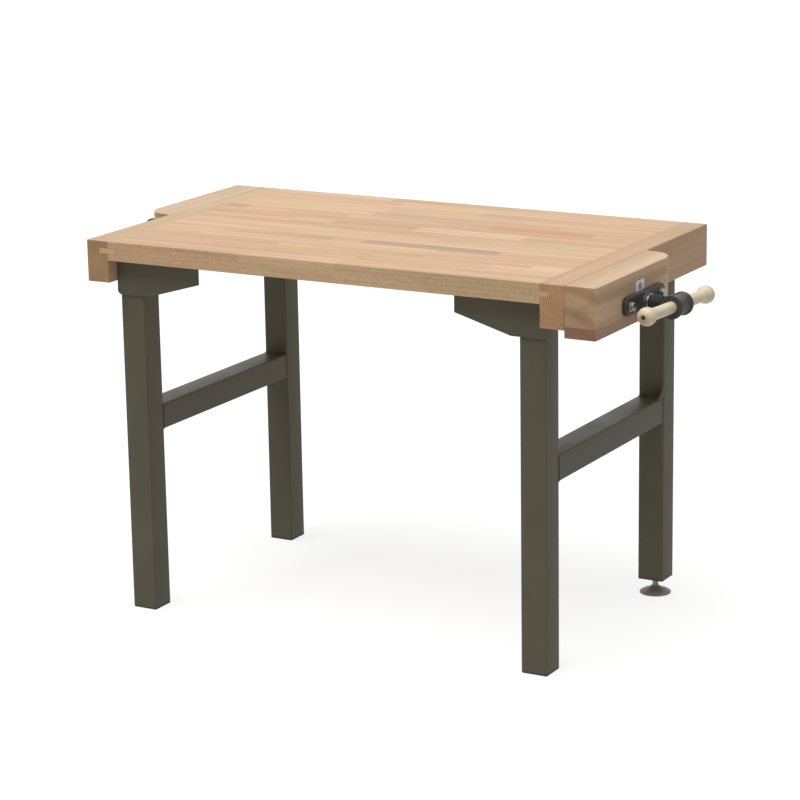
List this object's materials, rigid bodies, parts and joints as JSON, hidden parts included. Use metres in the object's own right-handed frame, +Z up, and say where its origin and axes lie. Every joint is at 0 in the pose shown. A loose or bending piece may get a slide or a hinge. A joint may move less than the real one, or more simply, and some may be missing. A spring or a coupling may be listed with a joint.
{
  "type": "toy workbench",
  "caption": "Child-height joiner's workbench: glued beech top with deep end rails, wooden-jawed screw vices at opposite corners, square-tube end frames and a levelling foot.",
  "frame": {"origin": "on the floor under the middle of the top", "axes": "+X to the right along the top, +Y from the front edge to the back edge, +Z up"},
  "size_m": [1.2514, 0.6, 0.703],
  "materials": {
    "beech_panel": "glued beech staves, oiled",
    "beech_rail": "planed beech, oiled",
    "beech_jaw": "planed beech, oiled",
    "jaw_strip": "planed beech heartwood, oiled",
    "tongue": "planed beech",
    "handle_wood": "turned maple, fine sanded",
    "frame_paint": "olive-grey powder coat, satin",
    "black_iron": "black enamelled casting",
    "zinc": "bright zinc plate",
    "bright_steel": "turned bright steel",
    "rubber": "moulded black rubber",
    "plug_plastic": "moulded dark plastic"
  },
  "bodies": {
    "bench": {"top_panel": "beech_panel", "right_end_rail": "beech_rail", "right_tongue": "tongue", "right_guide_block": "black_iron", "right_stretcher": "frame_paint", "right_corner_gusset": "frame_paint", "right_front_leg": "frame_paint", "right_front_bracket": "frame_paint", "right_front_bracket_screw_1": "zinc", "right_front_bracket_screw_2": "zinc", "right_front_end_plug": "plug_plastic", "right_back_leg": "frame_paint", "right_back_bracket": "frame_paint", "right_back_bracket_screw_1": "zinc", "right_back_bracket_screw_2": "zinc", "right_back_foot_insert": "plug_plastic", "left_end_rail": "beech_rail", "left_tongue": "tongue", "left_guide_block": "black_iron", "left_stretcher": "frame_paint", "left_corner_gusset": "frame_paint", "left_back_leg": "frame_paint", "left_back_bracket": "frame_paint", "left_back_bracket_screw_1": "zinc", "left_back_bracket_screw_2": "zinc", "left_back_end_plug": "plug_plastic", "left_front_leg": "frame_paint", "left_front_bracket": "frame_paint", "left_front_bracket_screw_1": "zinc", "left_front_bracket_screw_2": "zinc", "left_front_end_plug": "plug_plastic"},
    "right_jaw": {"right_jaw_board": "beech_jaw", "right_jaw_strip": "jaw_strip", "right_vice_plate": "black_iron", "right_front_guide_rod": "bright_steel", "right_back_guide_rod": "bright_steel", "right_front_plate_bolt": "zinc", "right_back_plate_bolt": "zinc"},
    "right_screw": {"right_vice_screw": "bright_steel", "right_thrust_ring": "bright_steel", "right_ribbed_sleeve": "rubber", "right_vice_head": "black_iron"},
    "right_handle": {"right_handle_bar": "handle_wood", "right_handle_knob": "handle_wood"},
    "left_jaw": {"left_jaw_board": "beech_jaw", "left_jaw_strip": "jaw_strip", "left_vice_plate": "black_iron", "left_back_guide_rod": "bright_steel", "left_front_guide_rod": "bright_steel", "left_back_plate_bolt": "zinc", "left_front_plate_bolt": "zinc"},
    "left_screw": {"left_vice_screw": "bright_steel", "left_thrust_ring": "bright_steel", "left_ribbed_sleeve": "rubber", "left_vice_head": "black_iron"},
    "left_handle": {"left_handle_bar": "handle_wood", "left_handle_knob": "handle_wood"},
    "foot_pad": {"right_back_foot_pad": "plug_plastic"},
    "foot_stem": {"right_back_foot_stem": "zinc"}
  },
  "joints": [
    {"name": "right_jaw_slide", "type": "slide", "parent": "bench", "child": "right_jaw", "axis": [1, 0, 0], "range_m": [0, 0.11]},
    {"name": "right_screw_turn", "type": "hinge", "parent": "right_jaw", "child": "right_screw", "pos_m": [0.605, -0.1195, 0.645], "axis": [1, 0, 0], "range_deg": [0, 7920]},
    {"name": "right_handle_slide", "type": "slide", "parent": "right_screw", "child": "right_handle", "axis": [0, 0.999, -0.0436], "range_m": [-0.07, 0.07]},
    {"name": "left_jaw_slide", "type": "slide", "parent": "bench", "child": "left_jaw", "axis": [-1, 0, 0], "range_m": [0, 0.11]},
    {"name": "left_screw_turn", "type": "hinge", "parent": "left_jaw", "child": "left_screw", "pos_m": [-0.605, 0.1195, 0.645], "axis": [-1, 0, 0], "range_deg": [0, 7920]},
    {"name": "left_handle_slide", "type": "slide", "parent": "left_screw", "child": "left_handle", "axis": [0, -0.999, -0.0436], "range_m": [-0.07, 0.07]},
    {"name": "foot_height", "type": "slide", "parent": "bench", "child": "foot_pad", "axis": [0, 0, 1], "range_m": [-0.0245, 0.0105]},
    {"name": "foot_turn", "type": "hinge", "parent": "foot_pad", "child": "foot_stem", "pos_m": [0.407, 0.244, 0], "axis": [0, 0, 1], "range_deg": [-5040, 2160]}
  ],
  "couplings": [
    {"joint": "right_jaw_slide", "follows": "right_screw_turn", "m_per_rad": 0.00079577},
    {"joint": "left_jaw_slide", "follows": "left_screw_turn", "m_per_rad": 0.00079577},
    {"joint": "foot_turn", "follows": "foot_height", "rad_per_m": 3590.4}
  ]
}
